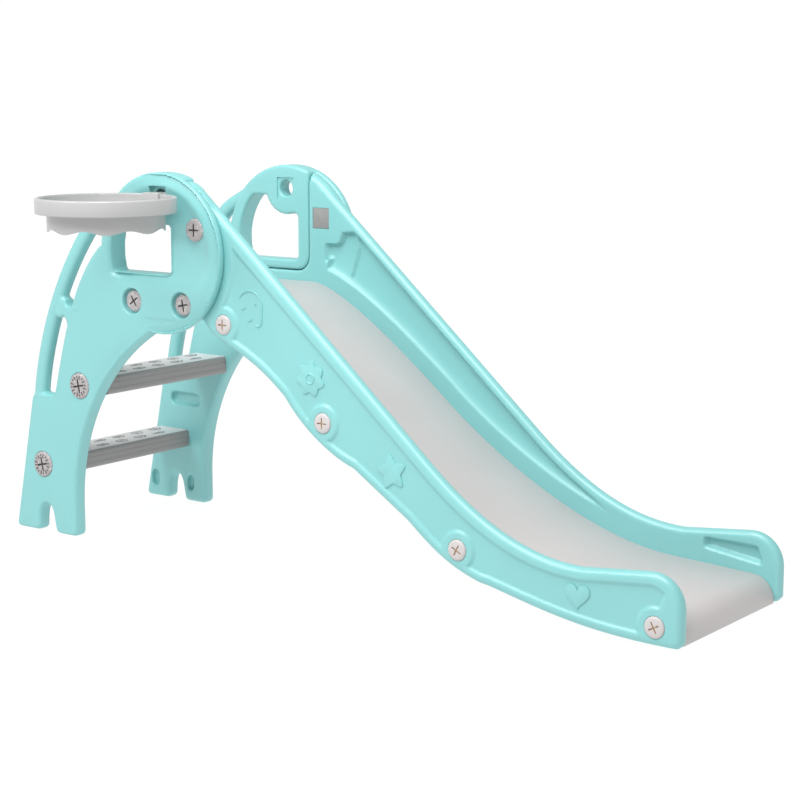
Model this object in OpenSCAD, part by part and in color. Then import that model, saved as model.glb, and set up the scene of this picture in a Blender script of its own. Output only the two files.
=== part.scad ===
// Free-standing toddler slide: two ladder panels, two slide rails, a slide bed with a standing platform,
// two steps, their large screws and a removable ball hoop. Millimetres, +X down the slide, +Z up.

/* [Overall] */
// Clear width of the slide bed between the rails
bed_w = 310; // [240:1:400]
// Length from the rear feet to the front of the rails
overall_l = 1432; // [1180:1:1750]
// Height of the standing platform above the floor
deck_h = 471; // [385:1:570]

/* [Ladder panels] */
// Thickness of the legs of a ladder panel
leg_t = 32; // [26:1:38]
// Length of a ladder panel along the floor
foot_l = 163; // [130:1:195]
// Distance of the disc centre in front of the rear feet
disc_x = 390; // [350:1:430]
// Height of the disc centre above the platform
disc_rise = 74; // [60:1:90]
// Radius of the round head of a ladder panel
disc_r = 143; // [130:1:160]
// Thickness of the disc where it covers the slide rail
disc_skin = 16; // [14:1:20]
// Depth of the dished centre of the disc
dish_depth = 4; // [2:1:5]
// Width of the raised rim around the dish
rim_w = 26; // [18:1:32]
// Width of the grab rim beside the handle window
grab_w = 26; // [20:1:32]
// Diameter of the curved rear handrail
handrail_d = 28; // [20:1:32]
// Width of the notch between the two feet
notch_w = 43; // [30:1:52]
// Height of the notch between the two feet
notch_h = 54; // [35:1:65]

/* [Slide rails and bed] */
// Thickness of a slide rail
rail_t = 24; // [20:1:30]
// Thickness of the double-walled slide bed
bed_t = 28; // [24:1:34]
// Height of the rounded front end of a rail
nose_h = 117; // [100:1:140]
// Radius of the rounded front end of a rail
nose_r = 55; // [40:1:60]
// Lowest height of the rail's top edge, just before the front end
valley_h = 105; // [95:1:115]
// Width of the raised border around the rail's outer face
border_w = 20; // [14:1:26]
// Depth of the recessed field inside that border
field_depth = 3; // [2:1:5]
// Height of the ridge that runs above the bed on the rail's inner face
ridge_h = 34; // [26:1:44]

/* [Steps] */
// Tread depth of a step, front to back
step_d = 85; // [72:1:95]
// Thickness of a step
step_t = 35; // [28:1:42]
// Corner radius of a step
step_r = 7; // [4:1:10]

/* [Screws and nuts] */
// Head diameter of the step screws
step_head_d = 48; // [40:1:56]
// Shank diameter of the step screws
step_shank_d = 20; // [16:1:24]
// Head diameter of the ladder panel screws
panel_head_d = 40; // [33:1:44]
// Head diameter of the rail screws
rail_head_d = 35; // [30:1:38]
// Shank diameter of the panel and rail screws
shank_d = 14; // [10:1:16]
// Thickness of every screw head
head_t = 5; // [4:1:6]
// How far a screw reaches into the edge of the bed or of a step
screw_grip = 28; // [20:1:36]
// Depth of the shallow seats under the step and rail screw heads
seat_depth = 2; // [1:0.5:3]
// Depth of the round pockets around the lower panel screws
pocket_depth = 11; // [8:1:12]
// Width of the square nut behind the upper panel screw
nut_w = 38; // [30:1:44]
// Thickness of the square nut
nut_t = 12; // [8:1:14]
// Radial clearance around a screw shank, head or nut
screw_gap = 0.3; // [0.2:0.05:0.5]

/* [Hoop] */
// Outside diameter of the hoop
hoop_d = 241; // [200:1:290]
// Height of the hoop's rim band
hoop_band_h = 27; // [20:1:34]
// Wall of the rim band
hoop_wall = 7; // [5:1:9]
// Outside diameter of the skirt under the rim
skirt_d = 201; // [165:1:212]
// Depth of the skirt below the rim, down to its lobes
skirt_h = 33; // [24:1:42]
// Number of lobes along the skirt's lower edge
skirt_lobes = 8; // [6:1:12]
// Gap between the hoop and the ladder panel
hoop_gap = 4.5; // [3:0.5:10]
// Width of the square socket for the hoop
socket_w = 41; // [34:1:44]
// Distance of the socket's centre below the top of the disc
socket_below = 44; // [40:1:48]
// Depth of the square socket in the panel's outer face
socket_depth = 10; // [6:1:11]
// Depth of the shallow square around the socket's hole in the inner face
inner_socket_depth = 2; // [1:0.5:4]
// Diameter of the hole through the socket
socket_hole_d = 31; // [20:1:32]
// Height of the hoop's rim above the socket's centre
rim_rise = 7.5; // [4:0.5:9]
// Radial clearance of the hoop's plug in its socket
plug_gap = 0.4; // [0.2:0.05:0.5]
// Thickness of the clip on top of the hoop's rim
clip_cap = 2; // [1:0.5:4]
// Thickness of the clip inside and under the hoop's rim
clip_t = 6; // [4:0.5:8]

/* [Hidden] */
$fn = 64;

RIGHT = -1;
LEFT = 1;
AQUA = [0.61, 0.86, 0.86];
BED_GREY = [0.80, 0.80, 0.80];
STEP_GREY = [0.55, 0.55, 0.55];
HOOP_GREY = [0.74, 0.74, 0.74];
SCREW_GREY = [0.69, 0.65, 0.65];
SCREW_WHITE = [0.90, 0.87, 0.87];

// Widths, measured from a panel's outer face towards the middle
side_t = disc_skin + rail_t;
overall_w = bed_w + 2 * side_t;
half_w = overall_w / 2;

// Ladder panel
disc_c = [disc_x, deck_h + disc_rise];
socket_c = disc_c + [0, disc_r - socket_below];
shoulder = [disc_x * 0.136, deck_h * 0.548];
leg_arc_low = deck_h * 0.13;
leg_arc_end = disc_c - [22, disc_r - 1];
leg_arc_span = leg_arc_end - [foot_l, leg_arc_low];
leg_arc_r = leg_arc_span * leg_arc_span / (2 * leg_arc_span[0]);
window_right = disc_x + 29;
window_low = disc_c[1] - 36;
window_flat = disc_c[1] + 52;
window_lobe = disc_c[1] + 85;
hump_r = socket_w * 1.2;
insert_x = disc_x + 55;
insert_low = deck_h + 20;
insert_r = 28;
insert_seam = 1.5;
notch_x = foot_l * 0.4;

// Platform strip of the rail, behind the disc
strip_x = disc_x - 100;
strip_low = deck_h - 39;
deck_end = disc_x + 65;
run = overall_l - deck_end;
step_low_c = [foot_l * 0.5, deck_h * 0.278];
step_high_c = [(foot_l + disc_x) / 3, deck_h * 0.616];

// Closed end of the square nut
nut_floor = 2;

// Hoop
hoop_r = hoop_d / 2;
rim_top = socket_c[1] + rim_rise;
rim_low = rim_top - hoop_band_h;
hoop_y = -half_w - hoop_gap - hoop_r;
plug_w = socket_w - 2 * plug_gap;
peg_d = socket_hole_d - 2 * plug_gap;
peg_end = side_t - 4;

// ---------- curves ----------

// A point on the slide's side view: shares of the run in front of the platform and of its height
function chute(fx, fz) = [deck_end + fx * run, fz * deck_h];

function bez(a, b, c, d, n = 8) = [
    for (i = [0:n])
        let (t = i / n, u = 1 - t)
            u * u * u * a + 3 * u * u * t * b + 3 * u * t * t * c + t * t * t * d
];

function arc(c, r, from, to, n = 10) = [
    for (i = [0:n])
        let (a = from + (to - from) * i / n)
            c + r * [cos(a), sin(a)]
];

function reversed(p) = [for (i = [len(p) - 1:-1:0]) p[i]];

function direction(p, i) =
    let (step = p[min(i + 1, len(p) - 1)] - p[max(i - 1, 0)])
        step / norm(step);

// The same path moved sideways, to its left when the distance is positive
function shifted(p, distance) = [
    for (i = [0:len(p) - 1])
        let (t = direction(p, i))
            p[i] + distance * [-t[1], t[0]]
];

// Height of a path, which runs along +X, above the point x
function height_at(p, x) =
    let (k = max([for (i = [0:len(p) - 2]) p[i][0] <= x ? i : 0]))
        p[k][1] + (x - p[k][0]) / (p[k + 1][0] - p[k][0]) * (p[k + 1][1] - p[k][1]);

function part_of(p, from, to) = [for (q = p) if (q[0] >= from && q[0] <= to) q];

// Top surface of the slide, from the platform to where the lip starts
slide_top = concat(
    [[strip_x, deck_h]],
    bez(chute(0, 1), chute(0.067, 1), chute(0.230, 0.737), chute(0.312, 0.597)),
    bez(chute(0.325, 0.574), chute(0.433, 0.391), chute(0.631, 0.134), chute(0.801, 0.119), 12),
    [chute(0.950, 0.102)]
);
lip_r = 40;
lip_c = slide_top[len(slide_top) - 1] - [0, lip_r];
bed_top = concat(slide_top, arc(lip_c, lip_r, 75, 0, 6), [lip_c + [lip_r, 3 - lip_c[1]]]);
bed_under = shifted(bed_top, -bed_t);

// Top and bottom edges of a slide rail
rail_start = disc_c + disc_r * 0.985 * [cos(55), sin(55)];
nose_c = [overall_l - nose_r, nose_h - nose_r];
rail_top = concat(
    [rail_start],
    bez(
        chute(0.507, 0.514), chute(0.600, 0.344),
        [chute(0.696, 0)[0], valley_h], [chute(0.814, 0)[0], valley_h]
    ),
    arc(nose_c, nose_r, 95, 0)
);
rail_low = concat(
    bez(chute(0.039, 0.873), chute(0.089, 0.809), chute(0.128, 0.807), chute(0.207, 0.667), 6),
    bez(chute(0.214, 0.650), chute(0.241, 0.577), chute(0.297, 0.478), chute(0.360, 0.437), 6),
    bez(chute(0.477, 0.280), chute(0.522, 0.202), chute(0.558, 0.144), chute(0.623, 0.106), 6),
    bez(chute(0.640, 0.101), chute(0.756, 0.045), chute(0.826, 0.006), chute(0.980, 0.006), 6)
);

// Screws through the rails, a little above or below the middle of the bed's edge
function bed_point(fx, rise) =
    let (x = chute(fx, 0)[0], z = height_at(bed_top, x), slope = (height_at(bed_top, x + 5) - z) / 5)
        [x, z + rise] + bed_t / 2 * [slope, -1] / norm([slope, 1]);
rail_screws = [bed_point(0.080, -3), bed_point(0.307, 3.5), bed_point(0.587, 1), bed_point(0.955, 0)];
low_panel_screws = [
    [disc_x - 68, deck_h - bed_t / 2],
    [disc_x + 51, deck_h - bed_t / 2]
];
high_panel_screw = disc_c + [86, 46];

// ---------- placing ----------

// Extrudes a side view from one depth below the panel's outer face to another
module slab(from, to) {
    translate([0, to, 0])
        rotate([90, 0, 0])
            linear_extrude(height = to - from)
                children();
}

// A cylinder across the slide, at a place in the side view
module across(p, d, from, to) {
    translate([p[0], to, p[1]])
        rotate([90, 0, 0])
            cylinder(d = d, h = to - from);
}

// Puts a piece modelled from its outer face inwards on the right or the left side
module on_side(side) {
    if (side == RIGHT) {
        translate([0, -half_w, 0])
            children();
    } else {
        mirror([0, 1, 0])
            translate([0, -half_w, 0])
                children();
    }
}

// Moves the whole slide so that the middle of its bounding box stands on the origin
module place() {
    low_y = hoop_y - hoop_r;
    high_y = half_w + head_t - seat_depth;
    translate([-overall_l / 2, -(low_y + high_y) / 2, 0])
        children();
}

// ---------- screws ----------

// A large screw: a domed head with a cross recess, and a plain shank
module big_screw(p, head_d, d, seat, length) {
    slot_w = head_d * 0.09;
    slot_l = head_d * 0.55;
    difference() {
        union() {
            translate([p[0], seat, p[1]])
                rotate([90, 0, 0])
                    rotate_extrude()
                        polygon([
                            [0, 0], [head_d / 2, 0], [head_d / 2, head_t * 0.6],
                            [head_d / 2 - 2, head_t * 0.9], [head_d / 2 - 5, head_t], [0, head_t]
                        ]);
            across(p, d, seat - 1, seat + length);
        }
        for (turn = [0, 90])
            translate([p[0], seat - head_t, p[1]])
                rotate([0, turn, 0])
                    cube([slot_l, head_t, slot_w], center = true);
    }
}

module step_screw(side, p) {
    color(SCREW_GREY)
        on_side(side)
            big_screw(p, step_head_d, step_shank_d, seat_depth, leg_t - seat_depth + screw_grip);
}

module rail_screw(side, p) {
    color(SCREW_WHITE)
        on_side(side)
            big_screw(p, rail_head_d, shank_d, disc_skin + seat_depth, rail_t - seat_depth + screw_grip);
}

module high_screw(side) {
    color(SCREW_GREY)
        on_side(side)
            big_screw(
                high_panel_screw, panel_head_d, shank_d,
                dish_depth, side_t - dish_depth - nut_floor - 1
            );
}

module low_screws(side) {
    color(SCREW_GREY)
        on_side(side)
            for (p = low_panel_screws)
                big_screw(p, panel_head_d, shank_d, pocket_depth, side_t - pocket_depth + screw_grip);
}

module panel_nut(side) {
    color(STEP_GREY)
        on_side(side)
            difference() {
                slab(side_t - nut_t, side_t)
                    translate(high_panel_screw)
                        square(nut_w, center = true);
                across(high_panel_screw, shank_d + 2 * screw_gap, side_t - nut_t - 1, side_t - nut_floor);
            }
}

// ---------- ladder panel ----------

module leg_outline() {
    rear_slot = bez(
        shoulder + [60, 9], shoulder + [87, 109],
        disc_c + [-225, -61], disc_c + [-150, 7]
    );
    front_c = [foot_l + leg_arc_r, leg_arc_low];
    reach = acos((front_c[0] - leg_arc_end[0]) / leg_arc_r);
    polygon(concat(
        [[0, 0], shoulder, shoulder + [8, 8]],
        rear_slot,
        [disc_c],
        arc(front_c, leg_arc_r, 180 - reach, 180),
        [[foot_l, 0]]
    ));
}

module handrail_outline() {
    joint = disc_c + [-186, 30];
    end = disc_c + (disc_r - handrail_d / 2) * [cos(125), sin(125)];
    path = concat(
        bez(shoulder + [16, 0], shoulder + [18, 20], disc_c + [-301, -112], joint),
        bez(joint + [9, 11], joint + [28, 35], end - [46, 32], end, 6)
    );
    side = handrail_d / 2;
    polygon(concat(shifted(path, side), reversed(shifted(path, -side))));
    translate(disc_c + [-240, -120])
        rotate(-25)
            square([44, 24], center = true);
}

module window_outline() {
    difference() {
        intersection() {
            translate(disc_c)
                circle(disc_r - grab_w, $fn = 96);
            polygon([
                [disc_x - disc_r, window_low], [window_right, window_low], [window_right, window_flat],
                [disc_x, window_flat], [disc_x, window_lobe], [disc_x - disc_r, window_lobe]
            ]);
        }
        translate(socket_c)
            circle(hump_r);
    }
}

module notch_outline() {
    top = [notch_x + notch_w * 0.5, notch_h];
    polygon(concat(
        [[notch_x, -1]],
        bez([notch_x, 0], [notch_x, notch_h * 0.8], top - [notch_w * 0.3, 0], top),
        bez(
            top + [1, 0], top + [notch_w * 0.2, 0],
            [notch_x + notch_w * 0.8, notch_h * 0.5], [notch_x + notch_w, 0]
        ),
        [[notch_x + notch_w, -1]]
    ));
}

// The window frame that shows between the rail's plate and the handle window
module insert_outline(grow) {
    intersection() {
        translate(disc_c)
            circle(disc_r + 1, $fn = 96);
        polygon(concat(
            [[0, insert_low - grow]],
            arc([insert_x - insert_r, insert_low + insert_r], insert_r + grow, -90, 0),
            [[insert_x + grow, disc_c[1] + 2 * disc_r], [0, disc_c[1] + 2 * disc_r]]
        ));
    }
}

module slot_outline(a, b, w) {
    translate(a)
        circle(d = w);
    translate(b)
        circle(d = w);
    turn = atan2(b[1] - a[1], b[0] - a[0]);
    translate((a + b) / 2)
        rotate(turn)
            square([norm(b - a), w], center = true);
}

module leg_recesses() {
    slab(leg_t - 12, leg_t + 1) {
        slot_outline([foot_l * 0.54, deck_h * 0.447], [foot_l * 0.87, deck_h * 0.447], 25);
        slot_outline([notch_x - 37, 32], [notch_x - 37, 46], 19);
        slot_outline([foot_l - 38, 32], [foot_l - 38, 46], 17);
    }
}

module ladder_panel(side) {
    color(AQUA)
        on_side(side)
            difference() {
                union() {
                    slab(0, leg_t)
                        leg_outline();
                    slab(0, disc_skin)
                        translate(disc_c)
                            circle(disc_r, $fn = 96);
                    slab(disc_skin - 1, side_t)
                        intersection() {
                            translate(disc_c)
                                circle(disc_r, $fn = 96);
                            insert_outline(0);
                        }
                    slab(2, handrail_d)
                        handrail_outline();
                }
                slab(disc_skin, side_t + 1)
                    rail_plate_outline(screw_gap);
                slab(-1, side_t + 1)
                    window_outline();
                slab(-1, leg_t + 1)
                    notch_outline();
                slab(-1, dish_depth)
                    difference() {
                        translate(disc_c)
                            circle(disc_r - rim_w, $fn = 96);
                        translate(disc_c - [2 * disc_r, 4 * disc_r + 45])
                            square(4 * disc_r);
                    }
                slab(-1, socket_depth)
                    translate(socket_c)
                        square(socket_w, center = true);
                slab(side_t - inner_socket_depth, side_t + 1)
                    translate(socket_c)
                        square(socket_w, center = true);
                across(socket_c, socket_hole_d, -1, side_t + 1);
                for (p = low_panel_screws) {
                    across(p, panel_head_d + 6, -1, pocket_depth);
                    across(p, shank_d + 2 * screw_gap, -1, side_t);
                }
                across(high_panel_screw, panel_head_d + 2 * screw_gap, -1, dish_depth);
                across(high_panel_screw, shank_d + 2 * screw_gap, -1, side_t);
                for (p = [step_low_c, step_high_c]) {
                    across(p, step_head_d + 2 * screw_gap, -1, seat_depth);
                    across(p, step_shank_d + 2 * screw_gap, -1, leg_t + 1);
                }
                leg_recesses();
            }
}

// ---------- slide rail ----------

// The part of the rail behind the disc: a strip beside the platform and a plate below the top edge
module rail_plate_outline(grow) {
    plate_r = disc_r - insert_seam;
    top_angle = acos((insert_x + insert_seam - disc_x) / plate_r);
    polygon(concat(
        [[strip_x - grow, strip_low - grow], [strip_x - grow, insert_low - insert_seam + grow]],
        arc(
            [insert_x - insert_r, insert_low + insert_r],
            insert_r + insert_seam - grow, -90, 0
        ),
        arc(disc_c, plate_r + grow, top_angle, 55, 4),
        [
            disc_c + disc_r * [1.6, 0.3],
            [disc_x + disc_r * 1.6, strip_low],
            [disc_x + disc_r * 0.6, strip_low - grow]
        ]
    ));
}

module rail_outline() {
    plate_r = disc_r - insert_seam;
    top_angle = acos((insert_x + insert_seam - disc_x) / plate_r);
    polygon(concat(
        [[strip_x, strip_low], [strip_x, insert_low - insert_seam]],
        arc([insert_x - insert_r, insert_low + insert_r], insert_r + insert_seam, -90, 0),
        arc(disc_c, plate_r, top_angle, 56, 4),
        rail_top,
        [[overall_l, 12], [overall_l - 9, 3]],
        reversed(rail_low),
        [[disc_x + 92, strip_low - 9], [disc_x + 84, strip_low]]
    ));
}

// The field inside the raised border, left solid around each screw
module outer_field_outline() {
    from = disc_x + disc_r + 2 * border_w;
    to = overall_l - 1.4 * border_w;
    difference() {
        polygon(concat(
            [[from, height_at(rail_top, from) - 1.6 * border_w]],
            part_of(shifted(rail_top, -border_w), from, to),
            reversed(part_of(shifted(rail_low, border_w), from, to))
        ));
        for (p = rail_screws)
            translate(p)
                circle(rail_head_d * 0.85);
    }
}

// A wedge on the inner face, between the top edge and the ridge above the bed
module inner_field_outline() {
    from = chute(0.12, 0)[0];
    ridge = part_of(shifted(slide_top, ridge_h), from, chute(0.62, 0)[0]);
    top = part_of(shifted(rail_top, -22), from, chute(0.51, 0)[0]);
    polygon(concat(
        [[from, height_at(rail_top, from) - 30]],
        top,
        reversed(ridge)
    ));
}

module slide_rail(side) {
    color(AQUA)
        on_side(side)
            difference() {
                slab(disc_skin, side_t)
                    rail_outline();
                slab(disc_skin - 1, disc_skin + field_depth)
                    outer_field_outline();
                slab(side_t - 5, side_t + 1)
                    inner_field_outline();
                slab(side_t - nut_t, side_t + 1)
                    translate(high_panel_screw)
                        square(nut_w + 2 * screw_gap, center = true);
                across(high_panel_screw, shank_d + 2 * screw_gap, 0, side_t);
                for (p = low_panel_screws)
                    across(p, shank_d + 2 * screw_gap, 0, side_t + 1);
                for (p = rail_screws) {
                    across(p, rail_head_d + 2 * screw_gap, 0, disc_skin + seat_depth);
                    across(p, shank_d + 2 * screw_gap, 0, side_t + 1);
                }
            }
}

// ---------- bed and steps ----------

module slide_bed() {
    color(BED_GREY)
        difference() {
            translate([0, bed_w / 2, 0])
                rotate([90, 0, 0])
                    linear_extrude(height = bed_w)
                        polygon(concat(bed_top, reversed(bed_under)));
            for (side = [RIGHT, LEFT])
                on_side(side)
                    for (p = concat(low_panel_screws, rail_screws))
                        across(p, shank_d + 2 * screw_gap, side_t - 1, side_t + screw_grip + 1);
        }
}

module step_outline() {
    x = step_d / 2 - step_r;
    z = step_t / 2 - step_r;
    polygon(concat(
        arc([x, z], step_r, 0, 90, 6), arc([-x, z], step_r, 90, 180, 6),
        arc([-x, -z], step_r, 180, 270, 6), arc([x, -z], step_r, 270, 360, 6)
    ));
}

module step_board(p) {
    length = overall_w - 2 * leg_t;
    color(STEP_GREY)
        difference() {
            translate([p[0], length / 2, p[1]])
                rotate([90, 0, 0])
                    linear_extrude(height = length)
                        step_outline();
            for (side = [RIGHT, LEFT])
                on_side(side)
                    across(p, step_shank_d + 2 * screw_gap, leg_t - 1, leg_t + screw_grip + 1);
        }
}

// ---------- hoop ----------

// Half section of the rim band, its inner ledge and the skirt
module ring_section(grow) {
    rim_r = hoop_r - hoop_wall - grow;
    skirt_r = skirt_d / 2;
    ledge = rim_low + 5 + grow;
    polygon([
        [hoop_r + grow, rim_low + 2], [hoop_r + grow, rim_top - 3], [hoop_r - 3, rim_top + grow],
        [rim_r, rim_top + grow], [rim_r, ledge], [skirt_r - 4 - grow, ledge],
        [skirt_r - 4 - grow, rim_low - skirt_h], [skirt_r + grow, rim_low - skirt_h],
        [skirt_r + grow, rim_low - grow], [hoop_r - 2, rim_low - grow]
    ]);
}

module hoop_ring() {
    scallop_r = skirt_d / skirt_lobes;
    color(HOOP_GREY)
        translate([disc_x, hoop_y, 0])
            difference() {
                rotate_extrude($fn = 96)
                    ring_section(0);
                for (i = [0:skirt_lobes - 1])
                    translate([0, 0, rim_low - skirt_h - scallop_r * 0.66])
                        rotate([0, 90, (i + 0.5) * 360 / skirt_lobes])
                            cylinder(r = scallop_r, h = hoop_r);
            }
}

// Plug and peg for the socket, level on top, and a clip over the ring's wall
module hoop_bracket() {
    arm_w = plug_w - 4;
    arm_low = rim_low - clip_t;
    clip_y = -hoop_gap - hoop_wall - clip_t;
    plug_low = socket_c[1] - plug_w / 2;
    top = rim_top + clip_cap;
    color(HOOP_GREY)
        on_side(RIGHT)
            difference() {
                union() {
                    translate([disc_x - plug_w / 2, 0, plug_low])
                        cube([plug_w, socket_depth - plug_gap, top - plug_low]);
                    translate([disc_x - arm_w / 2, clip_y, arm_low])
                        cube([arm_w, 1 - clip_y, top - arm_low]);
                    intersection() {
                        across(socket_c, peg_d, socket_depth - 1, peg_end);
                        translate([disc_x - peg_d, 0, plug_low])
                            cube([2 * peg_d, side_t, top - plug_low]);
                    }
                }
                translate([disc_x, hoop_y + half_w, 0])
                    rotate_extrude($fn = 96)
                        ring_section(screw_gap);
            }
}

place() ladder_panel(RIGHT);  // right_ladder_panel
place() ladder_panel(LEFT);  // left_ladder_panel
place() slide_rail(RIGHT);  // right_slide_rail
place() slide_rail(LEFT);  // left_slide_rail
place() slide_bed();
place() step_board(step_low_c);  // lower_step
place() step_board(step_high_c);  // upper_step
place() step_screw(RIGHT, step_low_c);  // right_lower_step_screw
place() step_screw(RIGHT, step_high_c);  // right_upper_step_screw
place() step_screw(LEFT, step_low_c);  // left_lower_step_screw
place() step_screw(LEFT, step_high_c);  // left_upper_step_screw
place() high_screw(RIGHT);  // right_upper_panel_screw
place() high_screw(LEFT);  // left_upper_panel_screw
place() low_screws(RIGHT);  // right_lower_panel_screws
place() low_screws(LEFT);  // left_lower_panel_screws
place() panel_nut(RIGHT);  // right_panel_nut
place() panel_nut(LEFT);  // left_panel_nut
place() rail_screw(RIGHT, rail_screws[0]);  // right_top_rail_screw
place() rail_screw(RIGHT, rail_screws[1]);  // right_upper_rail_screw
place() rail_screw(RIGHT, rail_screws[2]);  // right_lower_rail_screw
place() rail_screw(RIGHT, rail_screws[3]);  // right_front_rail_screw
place() rail_screw(LEFT, rail_screws[0]);  // left_top_rail_screw
place() rail_screw(LEFT, rail_screws[1]);  // left_upper_rail_screw
place() rail_screw(LEFT, rail_screws[2]);  // left_lower_rail_screw
place() rail_screw(LEFT, rail_screws[3]);  // left_front_rail_screw
place() hoop_ring();
place() hoop_bracket();
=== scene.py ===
import math

import bpy
import numpy as np
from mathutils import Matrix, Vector


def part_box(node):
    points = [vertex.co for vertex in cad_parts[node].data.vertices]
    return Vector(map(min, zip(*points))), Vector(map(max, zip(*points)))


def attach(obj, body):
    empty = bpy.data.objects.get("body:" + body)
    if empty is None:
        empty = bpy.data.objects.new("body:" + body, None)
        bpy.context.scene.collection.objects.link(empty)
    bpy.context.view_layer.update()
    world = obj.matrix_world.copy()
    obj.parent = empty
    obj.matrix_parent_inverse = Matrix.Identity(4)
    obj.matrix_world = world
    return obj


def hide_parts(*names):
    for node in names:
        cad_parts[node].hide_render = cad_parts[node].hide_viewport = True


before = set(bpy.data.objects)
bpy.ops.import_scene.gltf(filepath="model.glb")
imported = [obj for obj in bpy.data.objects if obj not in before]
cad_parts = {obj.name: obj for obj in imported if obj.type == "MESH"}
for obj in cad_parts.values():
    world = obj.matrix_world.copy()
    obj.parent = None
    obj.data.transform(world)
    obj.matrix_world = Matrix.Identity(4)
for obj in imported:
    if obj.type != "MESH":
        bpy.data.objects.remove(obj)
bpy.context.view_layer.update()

# Side-view points are (forward from the rear feet, height) in millimetres. Depths are millimetres
# from the outer face of a ladder panel towards the middle. Every piece of a side is modelled on the
# right, and the left one is its mirror image.
MM = 0.001
RIGHT, LEFT = "right", "left"
PANEL_LOW, PANEL_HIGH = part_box("right_ladder_panel")
BED_LOW, BED_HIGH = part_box("slide_bed")
RAIL_LOW, RAIL_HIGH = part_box("right_slide_rail")
RING_LOW, RING_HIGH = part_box("hoop_ring")
REAR = PANEL_LOW.x
NEAR = PANEL_LOW.y
MIDDLE = (BED_LOW.y + BED_HIGH.y) / 2
LENGTH = (RAIL_HIGH.x - REAR) / MM
DECK = BED_HIGH.z / MM
SIDE = (BED_LOW.y - NEAR) / MM
WIDTH = 2 * (MIDDLE - NEAR) / MM

# Ladder panel
LEG_T = 32
LEG_RECESS = 12
FOOT = 163
DISC_R = 143
DISC = Vector((390, PANEL_HIGH.z / MM - DISC_R))
SKIN = (RAIL_LOW.y - NEAR) / MM
DISH = 4
DISH_R = DISC_R - 26
DISH_FROM = 478
CROWN, CROWN_W = 5.5, 30
WINDOW_FLARE, WINDOW_FLARE_END = 5, 350
LEG_CROWN, LEG_CROWN_W, LEG_CROWN_TOP = 1.2, 38, 430
HANDRAIL = 28
BRACE_AT, BRACE_TURN = DISC + Vector((-240, -120)), -25
SLOT_END_R = 9.5
VENT = Vector((93, 115))
HOLE_FLARE = 3
SOCKET = DISC + Vector((0, DISC_R - 44))
SOCKET_W = 41
SOCKET_DEPTH = 10
INNER_SOCKET_DEPTH = 2
SOCKET_HOLE = 31
INSERT_X = DISC.x + 55
INSERT_Z = DECK + 20
INSERT_R = 28
INSERT_CORNER = Vector((INSERT_X - INSERT_R, INSERT_Z + INSERT_R))
SEAM = 1.5
PLATE_R = DISC_R - SEAM
PLATE_START = math.degrees(math.acos((INSERT_X + SEAM - DISC.x) / PLATE_R))

# Slide
DECK_END = DISC.x + 65
RUN = LENGTH - DECK_END
STRIP_X = DISC.x - 100
STRIP_Z = DECK - 39
BED_T = 28
BORDER = 17
FIELD = 4
BOSS_R = 31
WEDGE = 10
RIDGE_W = 13
FIGURE_RISE = 2.2
FLOWER_AT, STAR_AT, HEART_AT = Vector((718, 351)), Vector((889, 211)), Vector((1248, 61))
FACE_AT, FACE_R = Vector((585, 464)), 27
STEP_D, STEP_T = 85, 35
TREAD_PITCH = 52
STEPS_AT = {"lower": Vector((81.5, 130.9)), "upper": Vector((184.3, 290.1))}

# Screws: head diameter and thickness, and the depth of the seat under the head
HEAD_T = 5
STEP_SCREW = {"head": 48, "shank": 20, "seat": 2}
PANEL_SCREW = {"head": 40, "shank": 14}
RAIL_SCREW = {"head": 35, "shank": 14, "seat": SKIN + 2}
GRIP = 28
POCKET = 11
HIGH_SCREW = DISC + Vector((86, 46))
LOW_SCREWS = [Vector((DISC.x - 68, DECK - BED_T / 2)), Vector((DISC.x + 51, DECK - BED_T / 2))]
NUT_W, NUT_T = 38, 12

# Hoop
RING_C = Vector(((RING_LOW.x + RING_HIGH.x) / 2, (RING_LOW.y + RING_HIGH.y) / 2, 0))
RING_R = (RING_HIGH.x - RING_LOW.x) / 2 / MM
RING_TOP = RING_HIGH.z / MM
HOOP_WALL = 7
BAND_H = 27
SKIRT_R = 100.5
SKIRT_WALL = 4
SKIRT_H = 31.5
LOBES = 8
LOBE_RISE = 6.5

# Modelling: how far cutters stand clear of what they cut, and the remeshing of the moulded shells
CLEAR = 5
VOXEL = 2.4 * MM
SMOOTHING = 7


# ---------- curves in the side view ----------

def chute(fx, fz):
    """A point on the side view of the chute, as shares of its run and of the platform's height."""
    return Vector((DECK_END + fx * RUN, fz * DECK))


def bez(a, b, c, d, n=20):
    points = []
    for i in range(n + 1):
        t = i / n
        u = 1 - t
        points.append(u ** 3 * a + 3 * u * u * t * b + 3 * u * t * t * c + t ** 3 * d)
    return points


def arc(centre, r, start, end, n=20):
    points = []
    for i in range(n + 1):
        a = math.radians(start + (end - start) * i / n)
        points.append(Vector(centre) + r * Vector((math.cos(a), math.sin(a))))
    return points


def circle(centre, r, n=96):
    return arc(centre, r, 0, 360, n)[:-1]


def rectangle(centre, half_x, half_z, along=Vector((1, 0)), over=Vector((0, 1))):
    """The corners of a rectangle, lying along its own two directions."""
    return [centre + along * sx * half_x + over * sz * half_z
            for sx, sz in ((-1, -1), (1, -1), (1, 1), (-1, 1))]


def heading(degrees):
    """The unit vector at an angle above the forward direction."""
    a = math.radians(degrees)
    return Vector((math.cos(a), math.sin(a)))


def shifted(path, distance):
    """The same path moved sideways, to its left when the distance is positive."""
    moved = []
    for i, point in enumerate(path):
        along = (path[min(i + 1, len(path) - 1)] - path[max(i - 1, 0)]).normalized()
        moved.append(point + distance * Vector((-along.y, along.x)))
    return moved


def part_of(path, start, end):
    return [p for p in path if start <= p.x <= end]


def height_at(path, x):
    k = max(i for i in range(len(path) - 1) if path[i].x <= x)
    share = (x - path[k].x) / (path[k + 1].x - path[k].x)
    return path[k].y + share * (path[k + 1].y - path[k].y)


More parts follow.
